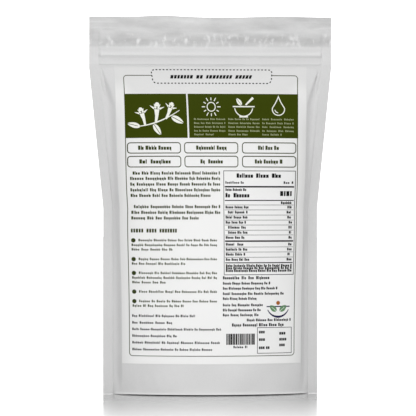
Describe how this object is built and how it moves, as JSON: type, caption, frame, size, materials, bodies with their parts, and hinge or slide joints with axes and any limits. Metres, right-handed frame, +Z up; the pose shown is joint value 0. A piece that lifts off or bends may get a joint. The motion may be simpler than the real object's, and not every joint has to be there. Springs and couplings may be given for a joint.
{
  "type": "stand-up pouch of whole cloves",
  "caption": "Shut stand-up zip pouch of whole cloves: a light grey matte film bag with flat side seals, a press zip, a folded base and a paper label on each face.",
  "frame": {"origin": "on the floor, under the middle of the pouch's box", "axes": "+Z up to the cut top edge, +X along the pouch's width, and the face with the small print looks along -Y"},
  "size_m": [0.18, 0.0674, 0.28],
  "materials": {
    "film": "matte light grey laminated film",
    "label_paper": "smooth white label paper with dark green and black print"
  },
  "bodies": {
    "root": {"pouch": "film", "label": "label_paper", "far_label": "label_paper"}
  },
  "joints": []
}
